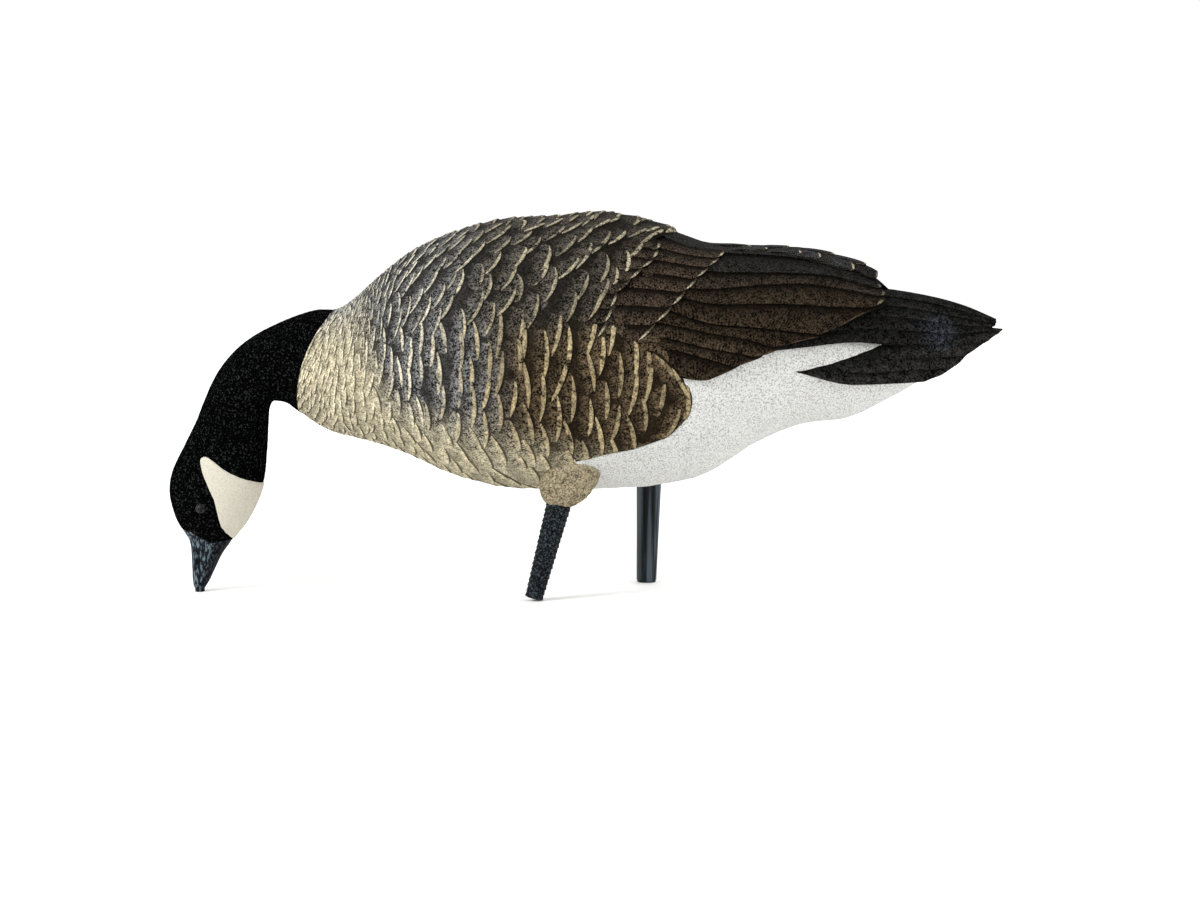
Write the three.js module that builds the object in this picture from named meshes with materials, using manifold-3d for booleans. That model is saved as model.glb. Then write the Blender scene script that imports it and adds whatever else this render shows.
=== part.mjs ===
// A feeding goose field decoy: a full-bodied moulded goose with its neck bent down and its bill on the ground.
// Millimetres, +Z up. The bill is towards -X, the tail towards +X, and the goose's left side is towards -Y.
// The origin is on the ground, under the middle of the decoy's length and width.
import * as THREE from "three";
import { mergeVertices } from "three/addons/utils/BufferGeometryUtils.js";
import Module from "manifold-3d";

const wasm = await Module();
wasm.setup();

// Ribs of the goose, from the end of the rump to the bill. Each rib crosses the bird from its back line to its
// belly line (on the neck, from the nape to the throat):
// [back x, back z, belly x, belly z, half width, share of the rib from belly to back at which it is widest]
const RIBS = [
  [310, 209, 310, 195, 8, 0.5],
  [297, 215, 297, 189, 24, 0.5],
  [275, 229, 275, 176, 41, 0.52],
  [231, 252, 231, 154, 57, 0.55],
  [188, 272, 188, 147.5, 72, 0.55],
  [144, 289, 148, 131, 87, 0.54],
  [101, 304, 105, 104.5, 101, 0.52],
  [57, 320, 62, 94.5, 112, 0.5],
  [14, 327.5, 14, 91.5, 117, 0.49],
  [-30, 326.5, -30, 90.5, 119, 0.48],
  [-73, 323.5, -73, 92.5, 117, 0.48],
  [-112, 313, -117, 104.5, 111, 0.48],
  [-147, 297.5, -153, 121, 101, 0.48],
  [-175, 276.5, -184, 131.5, 87, 0.47],
  [-197, 257, -220, 141, 69, 0.47],
  [-213, 246.5, -246.5, 157, 51, 0.48],
  [-230.5, 246, -257, 164.5, 42, 0.5],
  [-250, 240.5, -264.5, 166.5, 37, 0.5],
  [-269, 232.5, -269.5, 166.5, 34, 0.5],
  [-286, 223.5, -272, 163.5, 32, 0.5],
  [-300, 213, -273.5, 158.5, 31, 0.5],
  [-312, 200, -274, 152, 30, 0.5],
  [-322, 184.5, -274.5, 143, 29.5, 0.5],
  [-330, 166.5, -275, 131.5, 29, 0.5],
  [-337, 149, -276, 119, 28.5, 0.5],
  [-347.5, 128, -277.5, 103.5, 28, 0.5],
  [-358, 106, -281, 88.5, 28, 0.5],
  [-361, 87, -287, 74, 27.5, 0.5],
  [-356.5, 67, -295, 60, 24.5, 0.5],
  [-350, 54, -303, 50, 19.5, 0.5],
  [-344, 44, -309, 42, 15.5, 0.5],
  [-342.5, 33, -315.5, 33, 13, 0.5],
  [-342, 21, -321.5, 21, 11.5, 0.5],
  [-341.5, 9.5, -327, 9.5, 10, 0.5],
  [-339.5, 2.5, -331.5, 2.5, 6.5, 0.5],
];
const BILL_TIP = new THREE.Vector3(-337, 0, 0);
const BILL_FLAT = 0.5; // the flat at the bill's tip, in widths of the last rib
const NECK_RIB = 15; // the rib at the foot of the neck
const HEAD_RIB = 25; // the rib at which the head starts
const NECK_STEP = 0.8; // of a rib, from ring to ring
const HEAD_STEP = 0.55;
const HEAD_SIDES = 20;
const EVEN_RIB = 3; // from this rib on, the ribs of the trunk are evenly spaced along x
const RIB_SPACING = 43.4;
const ribAt = (x) => EVEN_RIB + (RIBS[EVEN_RIB][0] - x) / RIB_SPACING;

// The seam where the head and neck casting meets the breast: an arc seen from the side
const SEAM_CENTRE = [-121.9, 164.1];
const SEAM_RADIUS = 124.8;
const SEAM_LOW = 140;
const SEAM_HIGH = 250.5;
const SEAM_GAP = 0.3;
const SEAM_BLOCK = { front: -420, low: -40, high: 300, lowRear: -262, highRear: -228, width: 200, segments: 20 };

// Scale feathers in rows round the body, behind the bare rings of the rump
const RUMP_RINGS = [0, 0.6, 1.2, 1.8, 2.6, 3.4, 4.2, 5];
const FIRST_ROW = 5.55; // the rib of the hindmost row
const FEATHERS_ROUND = 17;
const ROW_PITCHES = [27, 14]; // on the flank and on the breast
const PITCH_RIBS = [9, 14]; // the ribs between which the pitch changes
const SCALE_HEIGHT = 0.09; // of the row's pitch
const SCALE_POINT = 0.26; // how far a feather's tip reaches past its corners, of the pitch
// A feather from its low foot, just behind the next one's raised tip, up its back: [along, height]
const SCALE_PROFILE = [[0, 0], [0.1, 1], [0.55, 0.45]];
const FLANK_RISE = 1.2; // how far the flank feathers stand over the white belly
const FEATHERS_END = [[180, 92], [209, 70], [238, 48], [250, 20], [305, 62], [330, 81]]; // [z, x]
const END_FADE = 8; // millimetres each way
const BARE_BELLY = [[-120, 0.02], [60, 0.3]]; // [x, share of the way from belly to back that is bare]
const BELLY_FADE = 0.1;
const PACE = 0.01; // of a rib, over which its length in millimetres is taken

// A folded wing lies on the skin, from its ridge by the back line down to its lower edge, which the flank
// feathers cover in front. Its cross lines slant:
// [ridge x, edge x, rise over the skin at the ridge, half way down, at the edge, angle of the edge from the back]
const WING_LINES = [
  [-10, -105, -10, -10, -12, 92],
  [35, -62, -8, -6, -12, 92],
  [78, -20, 0.5, 0.5, -9, 94],
  [118, 22, 2, 1.5, -8, 95],
  [155, 55, 12.5, 7, -6, 95],
  [190, 85, 26, 14, 1, 95],
  [228, 114, 35, 21, 7, 94],
  [250, 131, 38, 23, 8, 93],
  [264, 142, 34, 22, 8, 92],
];
const WING_RIDGE_ANGLE = 5;
const WING_FEATHERS = 8; // long feathers side by side across each wing
const WING_STEP = 2.8; // how far the lower edge of each one stands over the next
const WING_STATIONS = [0.12, 0.245, 0.255, 0.31, 0.365, 0.375, 0.46, 0.56, 0.66, 0.76, 0.87, 0.95, 1];
const COVERT_LINES = [0.25, 0.37]; // the two rows of covert tips, along the wing
const COVERT_STEP = 2.2;
const WING_FLOOR = 6; // how far the underside lies below the lower edges
const FEATHER_CREST = 0.85; // where across a long feather it is highest
const UNDERSIDE_REACH = 0.35; // of the lower edge's side y
const GROOVE_DEPTH = 5; // between the two wings, along the back

// The primaries show past the wing and close to a point over the tail
const PRIMARY_RIBS = [
  [112, 78, 262, 112, 94, 211, 3],
  [183, 58, 262, 183, 81, 218, 4],
  [227, 36, 264, 227, 64, 221.5, 6],
  [262, 12, 263, 262, 51, 218.5, 8],
  [300, 7, 257, 300, 35, 217, 6],
  [330, 6, 249, 330, 21, 219, 3],
  [357, 4, 238, 357, 7, 227, 1],
];
const PRIMARY_FEATHERS = 5;
const PRIMARY_STEP = 2.24;
const PRIMARY_FLOOR = 3;
const PRIMARY_STATIONS = [0, 0.17, 0.34, 0.5, 0.64, 0.76, 0.88, 1];

// The closed tail is an arched stack of feathers, the middle one on top, then pairs further out and down:
// [root x, side y, z, middle x, side y, z, tip x, side y, z, lean in degrees]
const TAIL_FEATHERS = [
  [222, 0, 222, 288, 0, 231, 361, 0, 227.5, 0],
  [212, 40, 218, 272, 29, 225, 355, 7, 225.5, 30],
  [200, 54, 208, 263, 45, 216, 338, 13, 219, 52],
  [188, 64, 201, 253, 53, 207, 325, 19, 210.5, 66],
  [177, 72, 197, 245, 56, 197, 310, 26, 201, 78],
];
const TAIL_HALF_WIDTH = [11, 12.5]; // at the root and the tip
const TAIL_THICK = 5;
const TAIL_SECTION = [[-1, 0], [0, 0.45], [1, 0], [0.9, -0.55], [-0.9, -0.55]]; // in half widths and thicknesses
const TAIL_STATIONS = [0, 0.35, 0.7, 0.9, 0.97, 1];
const TIP_ROUNDING = 8; // the higher, the blunter the tips
const TIP_WIDTH = 0.22; // of the full width

// Legs: [top x, top z, bottom x, side y, top radius, bottom radius]
const LEG_LEFT = [-20.9, 84, -43.3, -60, 11.3, 8.2];
const LEG_RIGHT = [57.4, 92, 55.2, 60, 11.2, 8.8];
const LEG_SIDES = 18;
const THIGHS = [
  [-11, -60, 108, 79], // x, y, middle z, lowest z
  [62, 60, 112, 86],
];
const THIGH_SIZE = [25.5, 21]; // half length and half width
const THIGH_FACETS = [14, 8];
const THIGH_LEAN = 0.3; // the top lies this much further back for each unit of height
const EYE = [-333, 24.6, 70, 4.6]; // x, side y, z, radius
const EYE_FACETS = [12, 8];

// A closed solid through rings of the same number of points, with a fan over each end ring's middle
function loft(rings) {
  const around = rings[0].length;
  const ends = [rings[0], rings.at(-1)].map((ring) =>
    ring.reduce((sum, p) => sum.add(p), new THREE.Vector3()).divideScalar(around),
  );
  const points = [...rings.flat(), ...ends];
  const last = (rings.length - 1) * around;
  const faces = [];
  for (let j = 0; j < around; j++) {
    const next = (j + 1) % around;
    for (let i = 0; i < last; i += around) {
      faces.push(i + j, i + around + j, i + next, i + next, i + around + j, i + around + next);
    }
    faces.push(points.length - 2, j, next, points.length - 1, last + next, last + j);
  }
  const geometry = new THREE.BufferGeometry().setFromPoints(points);
  geometry.setIndex(faces);
  return geometry;
}

function solidOf(geometry) {
  const bare = geometry.clone();
  bare.deleteAttribute("normal");
  bare.deleteAttribute("uv");
  const merged = mergeVertices(bare, 1e-4);
  const made = new wasm.Manifold(
    new wasm.Mesh({
      numProp: 3,
      vertProperties: merged.attributes.position.array,
      triVerts: new Uint32Array(merged.index.array),
    }),
  );
  return made.volume() < 0 ? solidOf(turned(merged)) : made;
}

function turned(geometry) {
  const index = geometry.index.array;
  for (let i = 0; i < index.length; i += 3) [index[i + 1], index[i + 2]] = [index[i + 2], index[i + 1]];
  return geometry;
}

function geometryOf(solid) {
  const mesh = solid.getMesh();
  const geometry = new THREE.BufferGeometry();
  geometry.setAttribute("position", new THREE.BufferAttribute(mesh.vertProperties, 3));
  geometry.setIndex(new THREE.BufferAttribute(mesh.triVerts, 1));
  geometry.computeVertexNormals();
  return geometry;
}

const smooth = (low, high, x) => {
  const share = THREE.MathUtils.clamp((x - low) / (high - low), 0, 1);
  return share * share * (3 - 2 * share);
};
const mix = THREE.MathUtils.lerp;

// A table's value at a place, in a straight line between its rows
function between(table, place) {
  const next = table.findIndex(([end]) => end > place);
  if (next < 1) return next ? table.at(-1)[1] : table[0][1];
  const [[from, a], [to, b]] = [table[next - 1], table[next]];
  return mix(a, b, (place - from) / (to - from));
}

// Smooth value through evenly spaced stations, t running from 0 to the last one's number
function through(stations, column, t) {
  const last = stations.length - 1;
  const i = Math.min(Math.floor(t), last - 1);
  const at = (k) => stations[Math.max(0, Math.min(last, k))][column];
  const f = t - i;
  const [a, b, c, d] = [at(i - 1), at(i), at(i + 1), at(i + 2)];
  return b + 0.5 * f * (c - a + f * (2 * a - 5 * b + 4 * c - d + f * (3 * (b - c) + d - a)));
}

// The goose's skin: t is the rib, angle 0 the back, 90 degrees the left side, 180 the belly. lift raises it.
function skin(t, angle, lift = 0) {
  const [bx, bz, vx, vz, half, level] = RIBS[0].map((_, column) => through(RIBS, column, t));
  const back = new THREE.Vector3(bx, 0, bz);
  const belly = new THREE.Vector3(vx, 0, vz);
  const middle = belly.clone().lerp(back, level);
  const reach = Math.cos(angle) > 0 ? back.sub(middle) : middle.clone().sub(belly);
  const spoke = reach.multiplyScalar(Math.cos(angle));
  spoke.y = -half * Math.sin(angle);
  const out = spoke.clone().normalize().multiplyScalar(lift);
  return middle.add(spoke).add(out);
}

const ring = (count, pointAt) => Array.from({ length: count }, (_, j) => pointAt((2 * Math.PI * j) / count, j));

// How feathered the skin is: 1 on the back, breast and flanks, 0 on the white belly and under the wings
function feathered(point, angle) {
  const height = Math.abs(Math.PI - angle) / Math.PI; // 1 on the back, 0 under the belly
  const bare = between(BARE_BELLY, point.x);
  const end = between(FEATHERS_END, point.z);
  return smooth(bare, bare + BELLY_FADE, height) * (1 - smooth(end - END_FADE, end + END_FADE, point.x));
}

function trunk() {
  const around = 2 * FEATHERS_ROUND;
  const rings = RUMP_RINGS.map((t) => ring(around, (angle) => skin(t, angle)));
  for (let t = FIRST_ROW, row = 0; t < NECK_RIB + 1; row++) {
    const pitch = mix(...ROW_PITCHES, smooth(...PITCH_RIBS, t));
    const step = pitch / (skin(t, Math.PI / 2).distanceTo(skin(t + PACE, Math.PI / 2)) / PACE);
    for (const [along, height] of SCALE_PROFILE) {
      rings.push(
        ring(around, (angle, j) => {
          const tip = (j + row) % 2 ? -SCALE_POINT : SCALE_POINT;
          const at = t + step * (along + tip * (1 - along));
          const cover = feathered(skin(at, angle), angle);
          return skin(at, angle, cover * (height * SCALE_HEIGHT * pitch + FLANK_RISE));
        }),
      );
    }
    t += step;
  }
  return solidOf(loft(rings));
}

function neckAndHead() {
  const rings = [];
  const last = RIBS.length - 1;
  for (let t = NECK_RIB - 2; t < last; t += t < HEAD_RIB ? NECK_STEP : HEAD_STEP) {
    rings.push(ring(HEAD_SIDES, (angle) => skin(t, angle)));
  }
  rings.push(ring(HEAD_SIDES, (angle) => skin(last, angle)));
  // The tip is blunt, with a small flat that rests on the ground
  rings.push(ring(HEAD_SIDES, (angle) => skin(last, angle).lerp(BILL_TIP, 1 - BILL_FLAT).setZ(BILL_TIP.z)));
  return solidOf(loft(rings));
}

// Folded feathers on both sides as one solid. surface(along, down, side, lift) gives its points, with down
// running from ridge to lower edge, and each feather's lower edge is raised over the next one.
function foldedFeathers(surface, stations, feathers, step, floor) {
  const rings = stations.map((along) => {
    const half = (side) =>
      Array.from({ length: feathers }, (_, k) => [
        surface(along, k / feathers, side, 0),
        surface(along, (k + FEATHER_CREST) / feathers, side, step),
      ]).flat();
    const right = half(1);
    const left = half(-1).reverse();
    const edge = right.at(-1);
    const inner = (side) => new THREE.Vector3(edge.x, side * edge.y * UNDERSIDE_REACH, edge.z - floor);
    const groove = new THREE.Vector3(right[0].x, 0, right[0].z - GROOVE_DEPTH);
    return [groove, ...right, inner(1), inner(-1), ...left];
  });
  return solidOf(loft(rings));
}

function wingSurface(along, down, side, lift) {
  const t = along * (WING_LINES.length - 1);
  const [ridge, edge, high, middle, low, edgeAngle] = WING_LINES[0].map((_, i) => through(WING_LINES, i, t));
  const rise = high * (1 - down) * (1 - 2 * down) + middle * 4 * down * (1 - down) + low * down * (2 * down - 1);
  const angle = THREE.MathUtils.degToRad(mix(WING_RIDGE_ANGLE, edgeAngle, down));
  const coverts = COVERT_LINES.filter((line) => along < line).length * COVERT_STEP;
  return skin(ribAt(mix(ridge, edge, down)), -side * angle, rise + coverts + lift);
}

function primarySurface(along, down, side, lift) {
  const t = along * (PRIMARY_RIBS.length - 1);
  const [rx, ry, rz, ex, ey, ez, bulge] = PRIMARY_RIBS[0].map((_, i) => through(PRIMARY_RIBS, i, t));
  const out = new THREE.Vector2(rz - ez, ey - ry).normalize();
  const swell = bulge * 4 * down * (1 - down) + lift;
  return new THREE.Vector3(
    mix(rx, ex, down),
    side * (mix(ry, ey, down) + out.x * swell),
    mix(rz, ez, down) + out.y * swell,
  );
}

function tailFeather(numbers, side) {
  const pointAt = (i) => new THREE.Vector3(numbers[i], side * numbers[i + 1], numbers[i + 2]);
  const [root, middle, tip] = [pointAt(0), pointAt(3), pointAt(6)];
  // The control point that takes the curve through the middle
  const control = middle.clone().multiplyScalar(2).sub(root.clone().lerp(tip, 0.5));
  const path = new THREE.QuadraticBezierCurve3(root, control, tip);
  const lean = side * THREE.MathUtils.degToRad(numbers[9]);
  const up = new THREE.Vector3(0, Math.sin(lean), Math.cos(lean));
  const rings = TAIL_STATIONS.map((s) => {
    const across = path.getTangent(s).cross(up).normalize();
    const half = mix(...TAIL_HALF_WIDTH, s) * Math.sqrt(Math.max(TIP_WIDTH ** 2, 1 - s ** TIP_ROUNDING));
    return TAIL_SECTION.map(([wide, high]) =>
      path.getPoint(s).addScaledVector(across, wide * half).addScaledVector(up, high * TAIL_THICK),
    );
  });
  return solidOf(loft(rings));
}

// The feathered thigh over each leg: a drop that leans down and forward onto the leg
function thigh([x, y, middle, low]) {
  const drop = new THREE.SphereGeometry(1, ...THIGH_FACETS).rotateX(Math.PI / 2).scale(...THIGH_SIZE, middle - low);
  const lean = new THREE.Matrix4().makeShear(0, 0, 0, 0, THIGH_LEAN, 0);
  return solidOf(drop.applyMatrix4(lean).translate(x, y, middle));
}

function legPost([topX, topZ, bottomX, y, topRadius, bottomRadius]) {
  const top = new THREE.Vector3(topX, y, topZ);
  const axis = top.clone().sub(new THREE.Vector3(bottomX, y, 0)).normalize();
  // The end is square to the post, so only its rear edge touches the ground
  const length = (topZ - Math.abs(axis.x) * bottomRadius) / axis.z;
  const middle = top.clone().addScaledVector(axis, -length / 2);
  const post = new THREE.CylinderGeometry(topRadius, bottomRadius, length, LEG_SIDES);
  const turn = new THREE.Quaternion().setFromUnitVectors(new THREE.Vector3(0, 1, 0), axis);
  return solidOf(post.applyQuaternion(turn).translate(middle.x, middle.y, middle.z));
}

// Everything in front of the neck seam, as a block cut to the seam's arc
function beforeSeam(gap) {
  const [x, z] = SEAM_CENTRE;
  const { front, low, high, lowRear, highRear, width, segments } = SEAM_BLOCK;
  const angleAt = (height) => Math.PI - Math.asin((height - z) / SEAM_RADIUS);
  const outline = new THREE.Shape();
  outline.moveTo(front, low);
  outline.lineTo(lowRear, low);
  outline.absarc(x - gap, z, SEAM_RADIUS, angleAt(SEAM_LOW), angleAt(SEAM_HIGH), true);
  outline.lineTo(highRear, high);
  outline.lineTo(front, high);
  const block = new THREE.ExtrudeGeometry(outline, { depth: width, bevelEnabled: false, curveSegments: segments });
  return solidOf(block.rotateX(Math.PI / 2).translate(0, width / 2, 0));
}

function eyeBall(side) {
  const [x, y, z, radius] = EYE;
  return solidOf(new THREE.SphereGeometry(radius, ...EYE_FACETS).translate(x, side * y, z));
}

// Solids joined into one piece, with any pocket closed in between them filled
function join(solids) {
  const shells = solids.reduce((all, one) => all.add(one)).decompose();
  return shells.reduce((most, one) => (one.volume() > most.volume() ? one : most));
}

const tail = TAIL_FEATHERS.flatMap((numbers, k) => (k ? [1, -1] : [1]).map((side) => tailFeather(numbers, side)));
const wings = foldedFeathers(wingSurface, WING_STATIONS, WING_FEATHERS, WING_STEP, WING_FLOOR);
const primaries = foldedFeathers(primarySurface, PRIMARY_STATIONS, PRIMARY_FEATHERS, PRIMARY_STEP, PRIMARY_FLOOR);
const body = join([trunk(), wings, primaries, ...tail, ...THIGHS.map(thigh)]).subtract(beforeSeam(0));
const head = join([neckAndHead(), eyeBall(-1), eyeBall(1)]).intersect(beforeSeam(SEAM_GAP));

const paints = {
  plumage: new THREE.MeshStandardMaterial({ color: 0x5d5444, roughness: 0.85, metalness: 0 }),
  flock: new THREE.MeshStandardMaterial({ color: 0x0c0c0d, roughness: 0.95, metalness: 0 }),
  post: new THREE.MeshStandardMaterial({ color: 0x1c2226, roughness: 0.5, metalness: 0 }),
};

const goose = new THREE.Group();
function place(name, solid, material) {
  const mesh = new THREE.Mesh(geometryOf(solid), material);
  mesh.name = name;
  goose.add(mesh);
}
place("body", body, paints.plumage);
place("head_and_neck", head, paints.flock);
for (const [name, leg] of [["left_leg", LEG_LEFT], ["right_leg", LEG_RIGHT]]) {
  const axis = new THREE.Vector3(leg[0] - leg[2], 0, leg[1]).normalize().multiplyScalar(SEAM_GAP);
  const socket = body.translate([-axis.x, -axis.y, -axis.z]);
  place(name, legPost(leg).subtract(socket), paints.post);
}

export default goose;
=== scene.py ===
import math

import bpy
import numpy as np
from mathutils import Matrix, Vector


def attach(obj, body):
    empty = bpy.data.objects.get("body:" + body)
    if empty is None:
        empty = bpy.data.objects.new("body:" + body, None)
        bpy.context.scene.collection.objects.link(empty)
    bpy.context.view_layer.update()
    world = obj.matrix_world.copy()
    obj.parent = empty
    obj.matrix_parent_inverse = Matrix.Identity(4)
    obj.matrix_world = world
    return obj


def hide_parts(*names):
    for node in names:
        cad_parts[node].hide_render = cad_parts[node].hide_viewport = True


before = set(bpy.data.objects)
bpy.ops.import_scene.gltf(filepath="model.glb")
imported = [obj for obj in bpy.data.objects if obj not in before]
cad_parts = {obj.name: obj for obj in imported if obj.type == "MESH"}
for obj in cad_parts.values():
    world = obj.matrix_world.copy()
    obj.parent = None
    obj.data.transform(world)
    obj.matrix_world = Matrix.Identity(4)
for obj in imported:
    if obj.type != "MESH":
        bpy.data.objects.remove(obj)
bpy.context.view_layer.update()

MM = 0.001
rng = np.random.default_rng(11)

# Ribs of the goose from the end of the rump to the bill:
# [back x, back z, belly x, belly z, half width, share of the rib from belly to back at which it is widest]
RIBS = np.array([
    [310, 209, 310, 195, 8, 0.5],
    [297, 215, 297, 189, 24, 0.5],
    [275, 229, 275, 176, 41, 0.52],
    [231, 252, 231, 154, 57, 0.55],
    [188, 272, 188, 147.5, 72, 0.55],
    [144, 289, 148, 131, 87, 0.54],
    [101, 304, 105, 104.5, 101, 0.52],
    [57, 320, 62, 94.5, 112, 0.5],
    [14, 327.5, 14, 91.5, 117, 0.49],
    [-30, 326.5, -30, 90.5, 119, 0.48],
    [-73, 323.5, -73, 92.5, 117, 0.48],
    [-112, 313, -117, 104.5, 111, 0.48],
    [-147, 297.5, -153, 121, 101, 0.48],
    [-175, 276.5, -184, 131.5, 87, 0.47],
    [-197, 257, -220, 141, 69, 0.47],
    [-213, 246.5, -246.5, 157, 51, 0.48],
    [-230.5, 246, -257, 164.5, 42, 0.5],
    [-250, 240.5, -264.5, 166.5, 37, 0.5],
    [-269, 232.5, -269.5, 166.5, 34, 0.5],
    [-286, 223.5, -272, 163.5, 32, 0.5],
    [-300, 213, -273.5, 158.5, 31, 0.5],
    [-312, 200, -274, 152, 30, 0.5],
    [-322, 184.5, -274.5, 143, 29.5, 0.5],
    [-330, 166.5, -275, 131.5, 29, 0.5],
    [-337, 149, -276, 119, 28.5, 0.5],
    [-347.5, 128, -277.5, 103.5, 28, 0.5],
    [-358, 106, -281, 88.5, 28, 0.5],
    [-361, 87, -287, 74, 27.5, 0.5],
    [-356.5, 67, -295, 60, 24.5, 0.5],
    [-350, 54, -303, 50, 19.5, 0.5],
    [-344, 44, -309, 42, 15.5, 0.5],
    [-342.5, 33, -315.5, 33, 13, 0.5],
    [-342, 21, -321.5, 21, 11.5, 0.5],
    [-341.5, 9.5, -327, 9.5, 10, 0.5],
    [-339.5, 2.5, -331.5, 2.5, 6.5, 0.5],
])
LAST_RIB = len(RIBS) - 1
EVEN_RIB, EVEN_X = 3, 231  # a rib and its x, from which the ribs of the body are evenly spaced
RIB_SPACING = 43.4

# The seam of the head and neck casting: an arc seen from the side
SEAM_CENTRE = (-121.9, 164.1)
SEAM_RADIUS = 124.8
SEAM_GAP = 0.006  # of a rib, on each side
SEAM_MEAN = 15.35  # the rib that the seam keeps to, on the whole
SEAM_REACH = (13.0, 18.0)  # ribs between which all of it lies

# Cross lines of a folded wing, front to rear: [ridge x, edge x, rise over the skin at the ridge,
# rise half way down, rise at the edge, degrees of the edge from the back]
WING_LINES = np.array([
    [-10, -105, -10, -10, -12, 92],
    [35, -62, -8, -6, -12, 92],
    [78, -20, 0.5, 0.5, -9, 94],
    [118, 22, 2, 1.5, -8, 95],
    [155, 55, 12.5, 7, -6, 95],
    [190, 85, 26, 14, 1, 95],
    [228, 114, 35, 21, 7, 94],
    [250, 131, 38, 23, 8, 93],
    [264, 142, 34, 22, 8, 92],
])
RIDGE_ANGLE = 5
FOLDED_LINES = (2.0, 7.85)  # the part of the lines that the solid under the feathers covers

# The primaries: [upper x, y, z, lower x, y, z, bulge]
PRIMARY_RIBS = np.array([
    [112, 78, 262, 112, 94, 211, 3],
    [183, 58, 262, 183, 81, 218, 4],
    [227, 36, 264, 227, 64, 221.5, 6],
    [262, 12, 263, 262, 51, 218.5, 8],
    [300, 7, 257, 300, 35, 217, 6],
    [330, 6, 249, 330, 21, 219, 3],
    [357, 4, 238, 357, 7, 227, 1],
])
PRIMARY_REACHES = (1, 1, 0.99, 0.965, 0.93)  # how far each goes to the point, from the upper one down
PRIMARY_THICKNESS = 2.2

# The closed tail, from the middle feather out: [root x, y, z, middle x, y, z, tip x, y, z, lean in degrees]
TAIL_FEATHERS = np.array([
    [222, 0, 222, 288, 0, 231, 363, 0, 227.5, 0],
    [212, 40, 218, 272, 29, 225, 364, 7, 225, 30],
    [200, 54, 208, 263, 45, 216, 352, 13, 218, 52],
    [188, 64, 201, 253, 53, 207, 340, 19, 209.5, 66],
    [177, 72, 197, 245, 56, 197, 328, 26, 200, 78],
])
TAIL_HALF_WIDTH = (11, 12.5)  # at the root and the tip
TAIL_THICKNESS = 2.4
# The end of the tail as seen from the side: [z, x]
TAIL_OUTLINE = np.array([
    [178, 262], [183, 282], [192, 308], [201.5, 322.5], [209, 330], [228, 362], [240, 380],
])

# Rows of scale feathers by rib: [rib, pitch of the rows, width of a feather]
BACK_ROWS = np.array([
    [6.2, 15, 32], [9, 13.5, 31], [10, 12.5, 30], [11, 10.5, 28], [12, 8.5, 24], [13, 6, 19],
    [14, 4.4, 15], [15.6, 3.8, 12],
])
FLANK_ROWS = np.array([
    [6.2, 12.5, 37], [9, 12.5, 37], [10, 12, 35], [11, 11, 31], [12, 9, 27], [12.7, 7.4, 23],
    [13.3, 6, 19], [14, 4.6, 15], [15.6, 3.9, 12],
])
SCALE_LENGTH = 2.4  # of the pitch of the rows
SCALE_HALF_WIDTH = 0.66  # of the width in the table
SCALE_LIP = 0.95  # of its length, past which the underside of a scale feather is drawn back
TIP_CURVE = 2.1  # power of the curve that its tip follows
STAGGER = 0.76  # of a feather's half width, between the feathers of one row and those of the next
UNEVEN_ROW = 0.22  # spread of a feather's place, of the pitch
UNEVEN_PLACE = 0.1  # and of the width
UNEVEN_SLANT = 0.13  # radians
UNEVEN_SIZE = 0.1
UNEVEN_TONE = 0.09
FLANK_ANGLE = 73  # degrees from the back, where the back feathers meet the flank's
LOWER_BORDER = 112  # degrees from the back, below which the border of the flank runs forward
# The last feathers of the flank: (x, degrees from the back, pitch, width, degrees that it points down)
CORNER_FEATHERS = [
    (75, 118, 12.5, 32, 24), (70, 92, 12, 26, -38), (80, 98, 12, 30, -30), (87, 108, 12.5, 38, 0),
]
WING_START = -25  # x behind which the back's feathers lie over the wing
BREAST_RIB = 13.6  # the rib in front of which the feathers are small
# Where the scale feathers end: [angle from the back, x]
SCALES_END = np.array([
    [0, 78], [38, 62], [42, 54], [48, 43], [54, 34], [61, 20], [66, 17], [74, 17], [82, 44], [90, 62],
    [99, 79], [107, 87], [115, 86], [122, 76], [128, 61], [133, 27], [137, -3], [143, -13], [152, -19],
    [180, -24],
])
SOFT_END = 4  # millimetres over which they sink there
# Below this line the plumage is pale: [x, angle]
PALE_LINE = np.array([
    [-320, 56], [-290, 42], [-250, 42], [-217, 64], [-197, 88], [-183, 106], [-163, 120], [-127, 123],
    [-100, 123], [-55, 128], [-11, 137], [40, 145],
])
# Tips of the two rows of wing coverts: [angle, x]
COVERT_TIPS = [
    np.array([[30, 66], [42, 63], [48, 52], [54, 43], [61, 29], [66, 26], [74, 20], [86, 7]]),
    np.array([[24, 122], [35, 115], [49, 96.5], [61, 81], [68, 70], [75, 57], [82, 44], [92, 30]]),
]
COVERT_STARTS = [np.array([[30, 20], [86, -30]]), COVERT_TIPS[0] - [0, 14]]
COVERT_SPANS = [(32, 80), (26, 90)]  # degrees from the back at the ends of each row
COVERT_HEIGHTS = (3.6, 2.2)  # over the wing
COVERTS = 8  # in each row
# Where the white flock starts: [angle, x]
WHITE_START = np.array([
    [0, 150], [80, 128], [91, 100], [97, 71], [107, 82], [115, 82], [122, 72], [128, 57], [133, 23],
    [137, -7], [143, -17], [152, -23], [180, -28],
])
RUMP_END = 284  # x behind which the casting is white all round

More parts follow.
